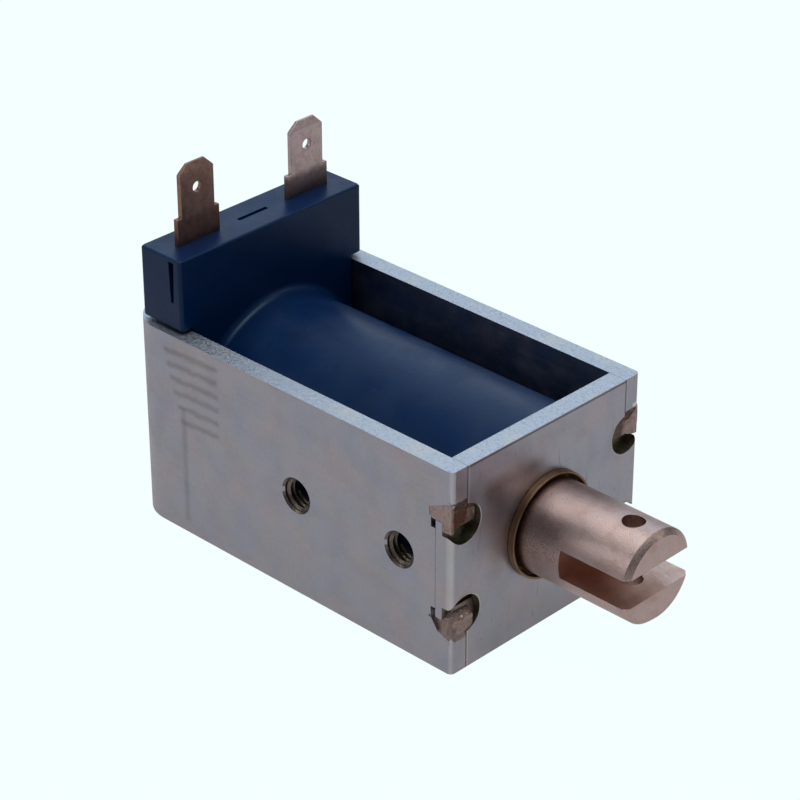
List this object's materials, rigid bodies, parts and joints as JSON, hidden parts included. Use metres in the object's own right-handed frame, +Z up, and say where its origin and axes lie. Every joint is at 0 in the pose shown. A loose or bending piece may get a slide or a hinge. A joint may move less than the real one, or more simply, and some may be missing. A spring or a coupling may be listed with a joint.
{
  "type": "push pull solenoid",
  "caption": "Box-frame linear solenoid with a blue moulded coil, push-on terminals, a clevis plunger at the front and a push rod at the rear.",
  "frame": {"origin": "plunger axis at the outer face of the front plate", "axes": "+X along the plunger axis towards the clevis, +Z up towards the terminals, +Y towards the far side plate"},
  "size_m": [0.1, 0.038, 0.0557],
  "materials": {
    "zinc_plated_steel": "bright zinc plating with a faint iridescent passivation, sheared edges rougher",
    "blue_coil_resin": "semi-gloss dark blue moulding compound",
    "former_nylon": "glass-filled nylon",
    "copper_wire": "enamelled copper wire",
    "tab_plating": "tin-plated brass strip, slightly tarnished",
    "guide_brass": "drawn brass",
    "core_steel": "turned soft iron, zinc plated",
    "bush_bronze": "sintered bronze",
    "rod_steel": "ground stainless steel",
    "plunger_plating": "rose-bronze plating over turned and blasted steel"
  },
  "bodies": {
    "housing": {"u_frame": "zinc_plated_steel", "front_plate": "zinc_plated_steel", "coil_moulding": "blue_coil_resin", "coil_former": "former_nylon", "winding": "copper_wire", "start_terminal": "tab_plating", "finish_terminal": "tab_plating", "guide_tube": "guide_brass", "fixed_core": "core_steel", "residual_washer": "guide_brass", "rod_bush": "bush_bronze"},
    "armature": {"plunger": "plunger_plating", "push_rod": "rod_steel"}
  },
  "joints": [
    {"name": "plunger_slide", "type": "slide", "parent": "housing", "child": "armature", "axis": [1, 0, 0], "range_m": [0, 0.015]}
  ]
}
